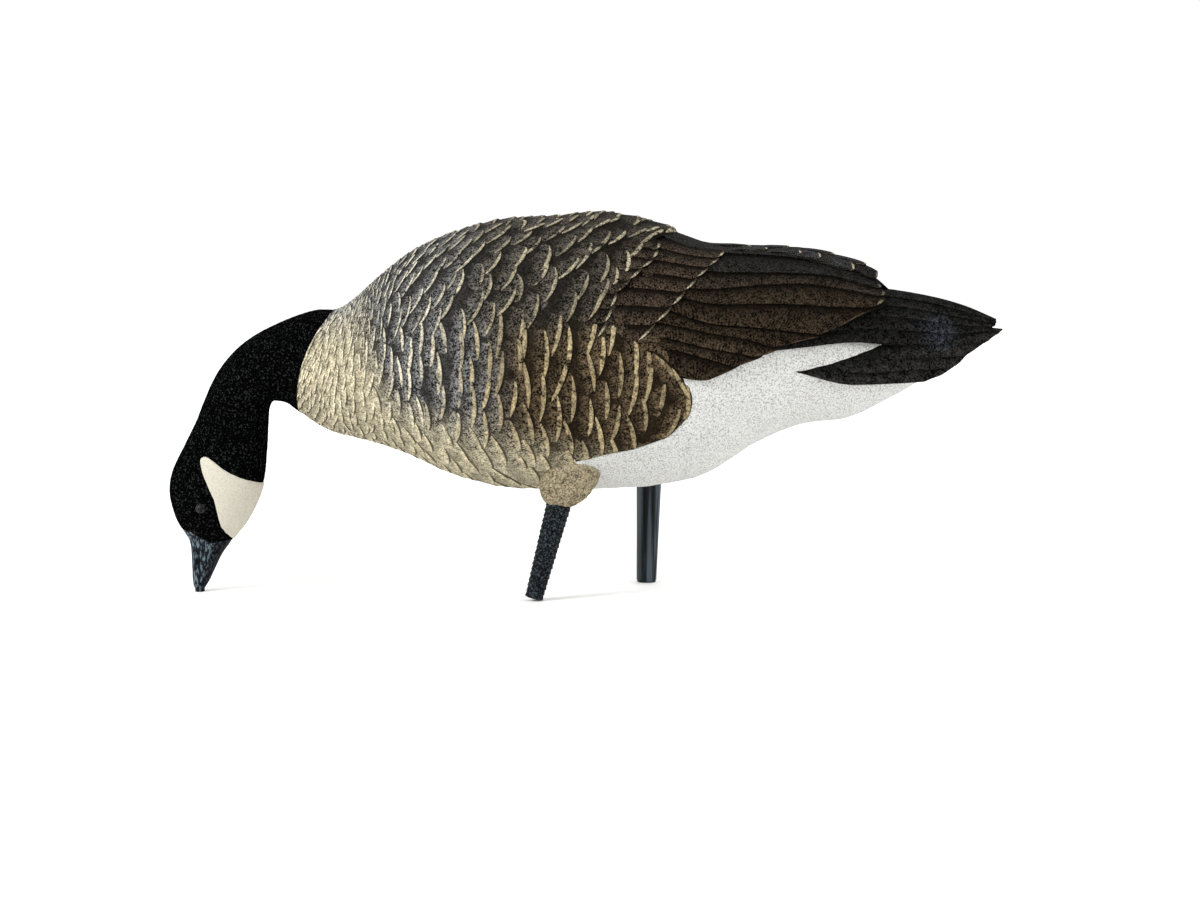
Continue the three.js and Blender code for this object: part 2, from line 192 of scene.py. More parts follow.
# Lines between the long wing feathers, from the ridge down: [x, angle] at the start, half way and at the tip
WING_GAPS = np.array([
    [[70, -4], [165, -5], [252, -3]],
    [[92, 24], [158, 26], [252, 16]],
    [[89, 40], [155, 42], [256, 21]],
    [[70, 52], [142, 52], [256, 29]],
    [[84, 57], [160, 62], [248, 42]],
    [[76, 63], [138, 76], [206, 76]],
    [[66, 72], [106, 77], [163, 90]],
    [[56, 77], [92, 82], [146, 94]],
    [[50, 81], [87, 86], [126, 96]],
    [[46, 88], [76, 96], [104, 98]],
])
# The small feathers along the ridge: (x of the tip, degrees from the back at its two sides)
RIDGE_FEATHERS = [
    (243, -2, 11), (232, 9, 24), (216, -3, 10), (203, 8, 23),
    (178, -2, 12), (186, 11, 22), (145, -3, 11), (158, 9, 22),
]
RIDGE_LENGTH = 50
WING_THICKNESS = 1.7  # of a feather
WING_LENGTHEN = -22  # x added at the start, so that the feathers run in under the coverts

# The white cheek patch, in ribs: [angle, front edge, rear edge]
CHEEK = np.array([
    [62.5, 25.22, 25.13], [64, 25.32, 25.04], [67, 25.45, 25.0], [72, 25.68, 25.0], [81, 26.05, 25.08],
    [96, 26.8, 25.25], [107, 27.75, 25.33], [114, 28.26, 25.36], [129, 28.8, 25.41], [158, 29.35, 25.43],
    [180, 29.55, 25.43],
])
# Where the flock ends on the bill, in ribs: [angle, rib]
BILL_EDGE = np.array([
    [0, 28.95], [50, 29.1], [71, 29.5], [98, 30.1], [129, 29.75], [160, 29.68], [180, 29.68],
])
BILL_START = 28.8  # the rib at which the bill starts, inside the head
MOUTH_ANGLE = 118  # degrees from the back
NOSTRIL = (63, 31.4)  # degrees from the back, rib
NOSTRIL_HEIGHT = 28
EYE = (-331, 24.8, 75.5, 4.9)  # x, side y, z, radius

# Legs: [top x, top z, bottom x, side y, top radius, bottom radius]
LEG_LEFT = (-20.9, 84, -43.3, -60, 11.3, 8.2)
LEG_RIGHT = (57.4, 92, 55.2, 60, 11.2, 8.8)
THIGHS = {"left_thigh": (-11, -60, 108, 79), "right_thigh": (62, 60, 112, 86)}  # x, y, middle z, lowest z
THIGH_SIZE = (25.5, 21)  # half length and half width
THIGH_LEAN = 0.3
SCUTE_LENGTH = 4.7  # of the left leg's scales
SCUTE_DEPTH = 0.9


def srgb(*values):
    """A paint's colour, from its red, green and blue as seen, 0 to 255."""
    shares = np.array(values) / 255
    return np.where(shares > 0.04, ((shares + 0.055) / 1.055) ** 2.4, shares / 12.92)


# Paints
CREAM = srgb(159, 151, 128)
CREAM_EDGE = srgb(176, 170, 150)
BREAST_GREY = srgb(112, 115, 114)
BREAST_GREY_EDGE = srgb(178, 174, 161)
SHOULDER = srgb(80, 80, 79)
MANTLE = srgb(60, 57, 52)
MANTLE_REAR = srgb(39, 35, 30)
FLANK = srgb(60, 50, 37)
BELLY_TAN = srgb(165, 157, 133)
THIGH_TAN = srgb(129, 119, 97)
EDGE_TAN = srgb(136, 124, 97)
EDGE_DULL = srgb(132, 126, 108)
COVERT_BROWN = srgb(38, 31, 25)
WING_BROWN = srgb(33, 27, 20)
WING_EDGE = srgb(62, 52, 40)
RIDGE_BLACK = srgb(19, 19, 19)
TAIL_BLACK = srgb(23, 23, 22)
# A painted sheen: a blue-grey patch near the tip of the tail, also towards the tips of the small ridge
# feathers
SHEEN_BLUE = srgb(40, 43, 49)
SHEEN_PLACE = (304, -22, 228)
SHEEN_SIZE = (18, 40, 19)
WHITE_FLOCK = srgb(223, 223, 219)
CHEEK_WHITE = srgb(196, 191, 177)
BLACK_FLOCK = srgb(3, 3, 3)
BLACK_SPECK = srgb(41, 42, 43)
WHITE_SPECK = srgb(146, 145, 141)
CHEEK_SPECK = srgb(160, 154, 138)
EYE_SHINE = srgb(46, 45, 46)
BILL_BLUE = srgb(38, 42, 48)
# Painted highlight on the culmen side of the bill
BILL_HIGHLIGHT = srgb(94, 108, 116)
LEG_BLUE = srgb(32, 37, 41)
# Tints of a feather: painted shade where the next ones cover it, painted light towards its outer side on the
# wing as the lit end of the painted shade across it, and at its rim
SHADE_TINT = (0.2, 0.19, 0.18)
OUTER_TINT = (1.9, 1.8, 1.7)
RIM_TINT = (1.22, 1.2, 1.14)


def smooth(low, high, x):
    share = np.clip((x - low) / (high - low), 0, 1)
    return share * share * (3 - 2 * share)


def mix(a, b, share):
    return a + (b - a) * share


def between(table, place, column=1):
    """A column of a table read at a place, in a straight line between its rows."""
    return np.interp(place, table[:, 0], table[:, column])


def through(stations, t):
    """Rows of evenly spaced stations, read smoothly at places t that count them from 0."""
    t = np.asarray(t, float)
    last = len(stations) - 1
    i = np.clip(np.floor(t), 0, last - 1).astype(int)
    f = (t - i)[..., None]
    a, b, c, d = (stations[np.clip(i + k, 0, last)] for k in (-1, 0, 1, 2))
    return b + 0.5 * f * (c - a + f * (2 * a - 5 * b + 4 * c - d + f * (3 * (b - c) + d - a)))


def bend(start, middle, end, v):
    """A smooth line through three places, read at v from 0 to 1."""
    return start * ((1 - v) * (1 - 2 * v)) + middle * (4 * v * (1 - v)) + end * (v * (2 * v - 1))


def centred(angle):
    """An angle turned to between -pi and pi, so that 0 is the back."""
    return (angle + math.pi) % (2 * math.pi) - math.pi


def rib_at(x):
    return EVEN_RIB + (EVEN_X - x) / RIB_SPACING


def x_at(t):
    return EVEN_X - (t - EVEN_RIB) * RIB_SPACING


def skin(t, angle, lift=0.0):
    """Points of the goose's skin at ribs t: angle 0 is the back, pi / 2 the left side, pi the belly."""
    t, angle, lift = np.broadcast_arrays(np.asarray(t, float), angle, lift)
    back_x, back_z, belly_x, belly_z, half, level = np.moveaxis(through(RIBS, t), -1, 0)
    middle_x, middle_z = mix(belly_x, back_x, level), mix(belly_z, back_z, level)
    upper = np.cos(angle) > 0
    reach_x = np.where(upper, back_x - middle_x, middle_x - belly_x)
    reach_z = np.where(upper, back_z - middle_z, middle_z - belly_z)
    spoke = np.stack([reach_x * np.cos(angle), -half * np.sin(angle), reach_z * np.cos(angle)], -1)
    out = spoke / np.maximum(np.linalg.norm(spoke, axis=-1, keepdims=True), 1e-6)
    return np.stack([middle_x, np.zeros_like(middle_x), middle_z], -1) + spoke + out * lift[..., None]


def paces(t, angle):
    """How many millimetres the skin goes for one rib, and for one radian round."""
    here = skin(t, angle)
    part_rib, part_radian = 0.05, 0.02
    one_rib = np.linalg.norm(skin(t + part_rib, angle) - here, axis=-1) / part_rib
    one_radian = np.linalg.norm(skin(t, angle + part_radian) - here, axis=-1) / part_radian
    return one_rib, one_radian


def seam_rib(angle):
    """The rib at which the neck seam crosses each angle."""
    low, high = (np.full(np.shape(angle), end) for end in SEAM_REACH)
    for _ in range(30):
        half = (low + high) / 2
        point = skin(half, angle)
        inside = np.hypot(point[..., 0] - SEAM_CENTRE[0], point[..., 2] - SEAM_CENTRE[1]) < SEAM_RADIUS
        low, high = np.where(inside, half, low), np.where(inside, high, half)
    return low


SEAM_ANGLES = np.linspace(-math.pi, math.pi, 181)
SEAM_RIBS = seam_rib(SEAM_ANGLES)


def seam_at(angle):
    return np.interp(angle, SEAM_ANGLES, SEAM_RIBS)


def wing_rise(x, angle):
    """How far a folded wing stands over the skin."""
    along = np.linspace(0, 1, 141)
    ridge, edge, high, middle, low, edge_angle = through(WING_LINES, along * (len(WING_LINES) - 1)).T
    degrees = np.abs(np.degrees(angle)).reshape(-1, 1)
    down = np.clip((degrees - RIDGE_ANGLE) / (edge_angle - RIDGE_ANGLE), 0, 1.05)
    line_x = mix(ridge, edge, down)
    rise = bend(high, middle, low, down)
    flat_x = np.broadcast_to(x, np.shape(angle)).reshape(-1)
    found = [np.interp(place, line, heights) for place, line, heights in zip(flat_x, line_x, rise)]
    return np.array(found).reshape(np.shape(angle))


def primary_surface(along, down, side, lift):
    """Points of a wedge of primaries, by shares of the way along it and down it."""
    upper_x, upper_y, upper_z, lower_x, lower_y, lower_z, bulge = np.moveaxis(
        through(PRIMARY_RIBS, np.asarray(along) * (len(PRIMARY_RIBS) - 1)), -1, 0
    )
    out = np.stack([upper_z - lower_z, lower_y - upper_y], -1)
    out /= np.linalg.norm(out, axis=-1, keepdims=True)
    swell = bulge * 4 * down * (1 - down) + lift
    y = mix(upper_y, lower_y, down) + out[..., 0] * swell
    z = mix(upper_z, lower_z, down) + out[..., 1] * swell
    return np.stack([mix(upper_x, lower_x, down), side * y, z], -1)


# Modelling with the hand tools

def deselect():
    """Leaves nothing selected, because an operator acts on all that is."""
    bpy.ops.object.select_all(action="DESELECT")


def pick(*pieces):
    deselect()
    for piece in pieces:
        piece.select_set(True)
    bpy.context.view_layer.objects.active = pieces[0]


def named(name):
    """The piece that was just made, under its name."""
    piece = bpy.context.object
    piece.name = name
    piece.data.name = name
    bpy.ops.object.transform_apply(location=True, rotation=True, scale=True)
    return piece


def points_of(piece):
    places = np.zeros(len(piece.data.vertices) * 3, np.float32)
    piece.data.vertices.foreach_get("co", places)
    return places.reshape(-1, 3).astype(float)


def move_points(piece, places):
    piece.data.vertices.foreach_set("co", np.asarray(places, np.float32).ravel())
    piece.data.update()


def edit(piece, *steps):
    """Runs edit-mode steps on the whole of one piece."""
    pick(piece)
    bpy.ops.object.mode_set(mode="EDIT")
    bpy.ops.mesh.select_all(action="SELECT")
    for step in steps:
        step()
    bpy.ops.object.mode_set(mode="OBJECT")
    return piece


def weld():
    bpy.ops.mesh.remove_doubles(threshold=1e-6)


def face_out():
    bpy.ops.mesh.normals_make_consistent(inside=False)


def sheet(name, across, along, place):
    """A grid laid at place(u, v), in millimetres, with u and v from 0 to 1."""
    deselect()
    bpy.ops.mesh.primitive_grid_add(x_subdivisions=across, y_subdivisions=along, size=1)
    piece = named(name)
    flat = points_of(piece)[:, :2] + 0.5
    move_points(piece, place(flat[:, 0], flat[:, 1]) * MM)
    return piece


def tube(name, around, along, ring):
    """A closed skin: ring(u, v) meets itself at u 0 and 1, and its first and last rows draw in to a point."""
    def place(u, v):
        places = ring(u, np.clip((v * along - 1) / (along - 2), 0, 1))
        for closed in (v < 0.5 / along, v > 1 - 0.5 / along):
            places[closed] = places[closed].mean(axis=0)
        return places

    return edit(sheet(name, around, along, place), weld, face_out)


def smooth_edges(piece, degrees=40):
    pick(piece)
    bpy.ops.object.shade_smooth_by_angle(angle=math.radians(degrees))
    return piece


def finish_with(piece, kind, **settings):
    """Adds a modifier and applies it."""
    pick(piece)
    modifier = piece.modifiers.new(kind.title(), kind)
    for key, value in settings.items():
        setattr(modifier, key, value)
    bpy.ops.object.modifier_apply(modifier=modifier.name)
    return piece


def roughen(piece, size, depth):
    """Raises and sinks a skin by cloudy noise, in millimetres."""
    clouds = bpy.data.textures.new(piece.name + "_lumps", "CLOUDS")
    clouds.noise_scale = size * MM
    clouds.noise_depth = 1
    return finish_with(piece, "DISPLACE", texture=clouds, strength=depth * MM, mid_level=0.5)


def joined(name, pieces):
    pick(*pieces)
    bpy.ops.object.join()
    return smooth_edges(edit(named(name), face_out), 50)


def paint_points(piece, name, colour):
    """One colour, or one for each point, kept on the mesh for its paint to read."""
    colours = np.ones((len(piece.data.vertices), 4), np.float32)
    colours[:, :3] = colour
    layer = piece.data.color_attributes.new(name, "FLOAT_COLOR", "POINT")
    layer.data.foreach_set("color", colours.ravel())


def paint_feather(piece, body, edge):
    paint_points(piece, "body_paint", body)
    paint_points(piece, "edge_paint", edge)


def lay_uv(piece, u, v):
    corners = np.zeros(len(piece.data.loops), np.int32)
    piece.data.loops.foreach_get("vertex_index", corners)
    layers = piece.data.uv_layers
    layer = layers[0] if layers else layers.new(name="UVMap")
    layer.uv.foreach_set("vector", np.stack([u[corners], v[corners]], -1).astype(np.float32).ravel())


def paint_plain(piece, colour):
    """Paints a skin without feathers of its own, and keeps it clear of rims and barbs."""
    paint_feather(piece, colour, colour)
    points = np.ones(len(piece.data.vertices))
    lay_uv(piece, 0.5 * points, 0.45 * points)


class Blade:
    """A feather modelled once: a closed blade from a grid, to be copied and laid on the goose."""

    def __init__(self, name, across, along, tip_rows, underside_in_one=False):
        deselect()
        bpy.ops.mesh.primitive_grid_add(x_subdivisions=across, y_subdivisions=along, size=2)
        self.piece = named(name)

        def thicken():
            bpy.ops.mesh.extrude_region_move(TRANSFORM_OT_translate={"value": (0, 0, -1)})
            if underside_in_one:
                bpy.ops.mesh.dissolve_faces()

        edit(self.piece, thicken)
        # Copies would share the grid's own UV, so it goes, and each copy lays one
        self.piece.data.uv_layers.remove(self.piece.data.uv_layers[0])
        flat = points_of(self.piece)
        self.u = flat[:, 0]
        self.across = (self.u + 1) / 2
        self.v = 1 - (0.5 - flat[:, 1] / 2) ** tip_rows  # 0 at the root, rows closer together at the tip
        self.top = flat[:, 2] > -0.5

    def laid(self, places, body, edge, across, from_tip):
        """A copy of the feather, with its paints, and as its UV the place across it and back from the tip."""
        piece = self.piece.copy()
        piece.data = self.piece.data.copy()
        bpy.context.scene.collection.objects.link(piece)
        move_points(piece, places * MM)
        paint_feather(piece, body, edge)
        lay_uv(piece, across, from_tip)
        return piece

    def shaft(self, height=0.3, width=0.08):
        return height * np.exp(-((self.u / width) ** 2))

    def discard(self):
        bpy.data.objects.remove(self.piece)


# Plumage

def fold(angle):
    """Degrees from the back, 0 to 180, on either side."""
    degrees = np.degrees(np.abs(angle)) % 360
    return np.where(degrees > 180, 360 - degrees, degrees)


def slant_at(x, degrees):
    """How far the feathers point down from straight back: the mantle's down, the low belly's up."""
    mantle = smooth(4, 22, degrees) * (1 - smooth(70, 74, degrees)) * smooth(-200, -150, x)
    low = smooth(108, 136, degrees) * (1 - smooth(165, 180, degrees)) * smooth(-190, -150, x)
    return np.radians(mix(31, 15, smooth(30, 66, degrees)) * mantle - 16 * low)


def lowness(x, degrees):
    """How far a place is down on the plain tan belly, 0 to 1."""
    return smooth(106, 134, degrees - 12 * smooth(-100, 60, x))


def paints_at(x, degrees):
    """Body and edge paint of the plumage at places on the skin."""
    x, degrees = (np.asarray(values, float)[..., None] for values in np.broadcast_arrays(x, degrees))
    rear = smooth(-60, 60, x)
    upper = (1 - smooth(66, 84, degrees)) * smooth(-140, -60, x)
    front = 1 - smooth(-265, -200, x)
    pale = smooth(-1, 1, (degrees - between(PALE_LINE, x)) / mix(34, 20, smooth(-220, -160, x)))
    body = mix(mix(SHOULDER, FLANK, smooth(-100, -45, x)), mix(MANTLE, MANTLE_REAR, rear), upper)
    edge = mix(EDGE_DULL, EDGE_TAN, smooth(50, 90, degrees))
    edge = mix(edge, BREAST_GREY_EDGE, (1 - smooth(-160, -70, x)) * 0.8)
    tan = mix(CREAM, BELLY_TAN, smooth(-200, -110, x))
    body = mix(mix(body, BREAST_GREY, front), tan, pale)
    edge = mix(edge, mix(CREAM_EDGE, tan * 1.05, smooth(-220, -150, x)), pale)
    return body, edge


def lay_scale(blade, t, angle, side, pitch, width, border_slant=None):
    """Lays a scale feather with the middle of its tip at a place on the skin or the border of the flank."""
    x = x_at(t)
    degrees = float(fold(angle))
    low = float(lowness(x, degrees))
    on_border = border_slant is not None
    if on_border:
        slant = math.radians(border_slant)
    else:
        slant = slant_at(x, degrees) + rng.normal(0, UNEVEN_SLANT)
    size = rng.normal(1, UNEVEN_SIZE)
    length, half = SCALE_LENGTH * pitch * size, SCALE_HALF_WIDTH * width * size
    bow = mix(0.12, mix(0.42, 0.22, float(smooth(60, 76, degrees))), float(smooth(5, 11, pitch))) * half
    high = (0.4 + 0.06 * pitch) * (1 - 0.85 * low) + (0.3 if degrees < FLANK_ANGLE else 0)
    one_rib, one_radian = paces(t, angle)
    arch = np.abs(blade.u) ** TIP_CURVE
    bevel = np.where(blade.top | (blade.v < SCALE_LIP), 0, 1 + 0.09 * pitch)
    ahead = (1 - blade.v) * length + arch * bow - bevel
    aside = blade.u * half
    rear = -ahead * math.cos(slant) - aside * math.sin(slant)
    down = -ahead * math.sin(slant) + aside * math.cos(slant)
    angles = angle + down / one_radian
    ribs = t - rear / one_rib
    ribs = np.minimum(ribs, seam_at(angles) - SEAM_GAP)
    past_end = smooth(-0.3 * SOFT_END, SOFT_END, x_at(ribs) - between(SCALES_END, fold(angles)))
    behind = (1 - blade.v) * length / pitch
    bead = 0.3 * high * np.exp(-(((behind - 0.1) / 0.1) ** 2))
    top = -1 + (high + 1) * blade.v**1.2 * (1 - 0.9 * blade.u**2) + bead * (1 - arch)
    under = np.where(blade.v > SCALE_LIP, -0.2 * high - np.abs(blade.u), -2.2)
    lift = np.where(blade.top, top, under) + (0.8 if on_border else -3 * past_end)
    if degrees < FLANK_ANGLE and x > WING_START:
        lift += wing_rise(x_at(ribs), angles).clip(0) + 3 * smooth(WING_START, WING_START + 50, x_at(ribs))
    places = skin(ribs, angles, lift)
    places[:, 1] *= side
    body, edge = paints_at(x_at(ribs), fold(angles))
    tone = rng.normal(1, UNEVEN_TONE)
    edge = mix(body, edge, rng.uniform(0.5, 1.1))
    # The places where the two feathers in front cover this one all have 1 as their v
    covered = 1 + bow / pitch * (np.abs(np.abs(blade.u) - STAGGER) ** TIP_CURVE - arch)
    from_tip = np.where(blade.top, behind / np.maximum(covered, 0.7), -0.35)
    return blade.laid(places, body * tone, edge, blade.across, from_tip)


def scale_rows(rows, first_angle, last_angle, large, small, groups, names):
    """Rows of scale feathers from the rear forward, staggered row by row, on both sides."""
    t = float(rib_at(SCALES_END[:, 1].max() + 16))
    row = 0
    while t < SEAM_RIBS.max() + 0.1:
        pitch, width = between(rows, t, 1), between(rows, t, 2)
        angle = first_angle
        step = 0.5 * (row % 2) if first_angle < 0.01 else 0.25 + 0.5 * (row % 2)
        while True:
            narrow = mix(0.75, 1, smooth(5, 35, math.degrees(angle)))
            seam = float(seam_at(angle))
            here = t + (seam - SEAM_MEAN) * float(smooth(11.5, 15, t))
            one_rib, one_radian = paces(here, angle)
            angle += step * width * narrow / float(one_radian)
            step = 1
            degrees = math.degrees(angle)
            if angle > last_angle:
                break
            over = x_at(here) - between(SCALES_END, degrees)
            if over > 0.95 * pitch or here > seam + 0.02:
                continue
            if degrees < LOWER_BORDER:
                here += max(0, over) / RIB_SPACING
            for side in (1, -1):
                if side < 0 and (angle < 0.01 or angle > math.pi - 0.01):
                    continue
                at = here + rng.normal(0, UNEVEN_ROW) * pitch / RIB_SPACING
                turned = angle + rng.normal(0, UNEVEN_PLACE) * width / float(one_radian)
                name, blade = ("breast_feathers", small) if here > BREAST_RIB else (names[side], large)
                groups[name].append(lay_scale(blade, at, turned, side, pitch, width * narrow))
        t += pitch / float(paces(t, math.pi / 2)[0])
        row += 1


def scale_feathers():
    small = Blade("small_feather", 4, 6, tip_rows=1.7, underside_in_one=True)
    large = Blade("large_feather", 8, 9, tip_rows=1.9, underside_in_one=True)
    on_back = {1: "back_feathers", -1: "back_feathers"}
    on_flank = {1: "left_flank_feathers", -1: "right_flank_feathers"}
    groups = {name: [] for name in ("breast_feathers", on_back[1], on_flank[1], on_flank[-1])}
    edge = math.radians(FLANK_ANGLE)
    scale_rows(FLANK_ROWS, edge, math.pi, large, small, groups, on_flank)
    scale_rows(BACK_ROWS, 0.0, edge, large, small, groups, on_back)
    for x, degrees, pitch, width, slant in CORNER_FEATHERS:
        for side in (1, -1):
            corner = lay_scale(large, float(rib_at(x)), math.radians(degrees), side, pitch, width, slant)
            groups[on_flank[side]].append(corner)
    small.discard()
    large.discard()
    return [joined(name, pieces) for name, pieces in groups.items()]


def lay_wing_feather(blade, upper, lower, side, body, edge, step=3.2, tuck=0.5, floor=0.0, round_off=0.055):
    """Lays a long feather between two lines on the wing, its lower edge a step over the next one."""
    share = mix(-tuck, 1.0, blade.across)[:, None]
    v = blade.v * (1 - round_off * np.abs(blade.u) ** 3 * blade.v)
    line = mix(bend(*upper, v[:, None]), bend(*lower, v[:, None]), share)
    x, angle = line[:, 0], np.radians(line[:, 1])
    shaft = blade.shaft(0.35, 0.07) * smooth(0.15, 0.5, blade.v)
    root_depth = 1.6 + floor
    top = floor + step * mix(0.25, 1.0, blade.across) + shaft - root_depth * (1 - blade.v) ** 2
    lift = wing_rise(x, angle) + np.where(blade.top, top, top - WING_THICKNESS)
    places = skin(rib_at(x), angle, lift)
    places[:, 1] *= side
    length = abs(lower[2][0] - lower[0][0])
    across = mix(0.0 if tuck else 0.75, 1.0, blade.across)
    from_tip = np.where(blade.top, (1 - v) * length / 26, -0.3)
    return blade.laid(places, body * rng.normal(1, 0.06), edge, across, from_tip)


def wing_feathers(side, name):
    """Long feathers in a fan, small ones along the ridge, and two rows of coverts over the roots."""
    blade = Blade("long_feather", 8, 14, tip_rows=1.5)
    pieces = []
    lines = WING_GAPS.copy()
    lines[:, 0, 0] += WING_LENGTHEN
    last = len(lines) - 1
    for k in range(last):
        body = mix(RIDGE_BLACK, WING_BROWN, float(smooth(0.5, 3, k)))
        edge = mix(WING_EDGE, EDGE_DULL, 0.35) if k < 4 else WING_EDGE
        tuck = 0.5 if k else 0.1
        pieces.append(lay_wing_feather(blade, lines[k], lines[k + 1], side, body, edge, tuck=tuck))
    for tip, upper, lower in RIDGE_FEATHERS:
        pair = [
            np.array([[tip - RIDGE_LENGTH, degrees], [tip - RIDGE_LENGTH / 2, degrees], [tip, degrees]])
            for degrees in (upper, lower)
        ]
        # A painted sheen towards the tip of each small ridge feather
        sheen = rng.uniform(0, 0.35) * smooth(0.3, 0.95, blade.v)
        body = mix(RIDGE_BLACK, SHEEN_BLUE, sheen[:, None])
        look = {"step": 1.2, "tuck": 0.0, "floor": 2.6, "round_off": 0.27}
        pieces.append(lay_wing_feather(blade, *pair, side, body, EDGE_DULL, **look))
    for row in (1, 0):
        body = COVERT_BROWN if row else mix(COVERT_BROWN, MANTLE_REAR, 0.5)
        bounds = np.linspace(*COVERT_SPANS[row], COVERTS + 1)
        for k in range(COVERTS):
            pair = []
            for degrees in bounds[k : k + 2]:
                start, tip = between(COVERT_STARTS[row], degrees), between(COVERT_TIPS[row], degrees)
                pair.append([[start, degrees], [(start + tip) / 2, degrees], [tip, degrees]])
            look = {"step": 1.3, "tuck": 0.35, "floor": COVERT_HEIGHTS[row], "round_off": 0.11}
            pieces.append(lay_wing_feather(blade, *np.array(pair), side, body, EDGE_DULL, **look))
    blade.discard()
    return joined(name, pieces)


def black_with_sheen(places):
    """Black feather paint with a painted blue-grey sheen near the tip of the tail."""
    away = np.linalg.norm((places - SHEEN_PLACE) / SHEEN_SIZE, axis=1)
    return mix(TAIL_BLACK * rng.normal(1, 0.06), SHEEN_BLUE, (1 - smooth(0.3, 1.1, away))[:, None])


def primaries():
    """The black wedges of primaries that close to a point over the tail."""
    blade = Blade("primary", 8, 18, tip_rows=1.3)
    pieces = []
    count = len(PRIMARY_REACHES)
    for side in (-1, 1):
        for k, reach in enumerate(PRIMARY_REACHES):
            share = mix((k - 0.5) / count, (k + 1) / count, blade.across)
            along = reach * blade.v * (1 - 0.03 * np.abs(blade.u) ** 3)
            top = mix(0.6, 2.2, blade.across) + blade.shaft()
            top *= 1 - 0.7 * smooth(0.85, 1, blade.v)
            lift = np.where(blade.top, top, top - PRIMARY_THICKNESS)
            places = primary_surface(along, np.clip(share, 0, 1), side, lift)
            paints = (black_with_sheen(places) * 0.7, TAIL_BLACK * 1.4)
            pieces.append(blade.laid(places, *paints, blade.across, (1 - blade.v) * 8))
    blade.discard()
    return joined("primaries", pieces)


def tail_feathers():
    blade = Blade("tail_feather", 8, 16, tip_rows=1.4)
    pieces = []
    for side in (-1, 1):
        for numbers in TAIL_FEATHERS if side > 0 else TAIL_FEATHERS[1:]:
            root, middle, tip = numbers[:9].reshape(3, 3) * [1, side, 1]
            lean = side * math.radians(numbers[9])
            outer = smooth(-0.3, 1, -side * blade.u) * min(1, numbers[9])
            s = (blade.v * (1 - 0.01 * np.abs(blade.u) ** 3 - 0.07 * outer))[:, None]
            centre = bend(root, middle, tip, s)
            ahead = (4 * s - 3) * root + (4 - 8 * s) * middle + (4 * s - 1) * tip
            up = np.array([0, math.sin(lean), math.cos(lean)])
            across = np.cross(ahead, up)
            across /= np.linalg.norm(across, axis=1, keepdims=True)
            half = mix(*TAIL_HALF_WIDTH, s) * np.sqrt(np.maximum(0.02, 1 - s**14)) * smooth(-0.02, 0.4, s)
            crown = 1.5 * (1 - blade.u**2) + blade.shaft()
            high = np.where(blade.top, crown, crown - TAIL_THICKNESS)[:, None]
            places = centre + across * half * blade.u[:, None] + up * high
            places[:, 0] = np.minimum(places[:, 0], between(TAIL_OUTLINE, places[:, 2]))
            paints = (black_with_sheen(places), TAIL_BLACK * 1.5)
            pieces.append(blade.laid(places, *paints, blade.across, (1 - blade.v) * 7))
    blade.discard()
    return joined("tail_feathers", pieces)


# Castings

def body_casting():
    def ring(u, v):
        angle = 2 * math.pi * u
        return skin(mix(0.2, seam_at(centred(angle)) - SEAM_GAP, v), angle, -0.7)

    piece = tube("body_casting", 96, 110, ring)
    places = points_of(piece) / MM
    body, _ = paints_at(places[:, 0], np.degrees(np.arctan2(np.abs(places[:, 1]), places[:, 2] - 205)))
    body[places[:, 0] > RUMP_END] = WHITE_FLOCK
    paint_plain(piece, body)
    return smooth_edges(piece)


def white_belly():
    """The white flock on the belly, rump and under the tail, as the thin layer that it is."""
    def ring(u, v):
        inside = u > 0.5
        share = np.where(inside, 2 * (1 - u), 2 * u)
        highest = mix(3, 45, smooth(0.06, 0.16, v))
        degrees = mix(highest, 360 - highest, share)
        front = between(WHITE_START, np.minimum(degrees, 360 - degrees))
        forward = 1 - (1 - v) ** 1.4
        edge = np.minimum(1, np.minimum(share, 1 - share) * 40) * smooth(-0.004, 0.014, 1 - forward)
        lift = np.where(inside, -3, -2 + 2.9 * edge)
        return skin(mix(0, rib_at(front), forward), np.radians(degrees), lift)

    piece = tube("white_belly", 140, 100, ring)
    roughen(piece, 16, 1.0)
    roughen(piece, 4, 0.4)
    return smooth_edges(piece, 60)


def folded_wings():
    """The solid of the folded wings under their feathers."""
    columns = 48
    top_share = 0.7  # of each half of a ring, before it turns under

    def ring(u, v):
        ridge, edge, high, middle, low, edge_angle = through(WING_LINES, mix(*FOLDED_LINES, v)).T
        side = np.where(u < 0.5, 1, -1)
        walk = np.where(u < 0.5, u, 1 - u) * 2
        down = np.clip(walk / top_share, 0, 1)
        angle = np.radians(mix(RIDGE_ANGLE, edge_angle, down))
        places = skin(rib_at(mix(ridge, edge, down)), angle, bend(high, middle, low, down) - 0.6)
        under = smooth(top_share, 1, walk)
        places[:, 1] *= -side * (1 - under)
        places[:, 2] -= 6 * under
        middle_line = (u * columns < 0.5) | (u * columns > columns - 0.5)
        places[middle_line, 1] = 0
        places[middle_line, 2] -= 5
        return places

    piece = tube("folded_wings", columns, 40, ring)
    # Painted black, so that where it shows between and under the feathers it is painted shade
    paint_plain(piece, RIDGE_BLACK)
    return smooth_edges(piece)


def thigh(name):
    x, y, middle, low = THIGHS[name]
    deselect()
    bpy.ops.mesh.primitive_uv_sphere_add(segments=40, ring_count=24, radius=1)
    piece = named(name)
    places = points_of(piece) * [THIGH_SIZE[0], THIGH_SIZE[1], middle - low]
    places[:, 0] += THIGH_LEAN * places[:, 2]
    move_points(piece, (places + [x, y, middle]) * MM)
    finish_with(piece, "SUBSURF", levels=1, render_levels=1)
    roughen(piece, 3.2, 1.6)
    height = points_of(piece)[:, 2] / MM
    paint_plain(piece, mix(THIGH_TAN, BELLY_TAN * 0.85, smooth(middle, middle + 22, height)[:, None]))
    return smooth_edges(piece, 60)


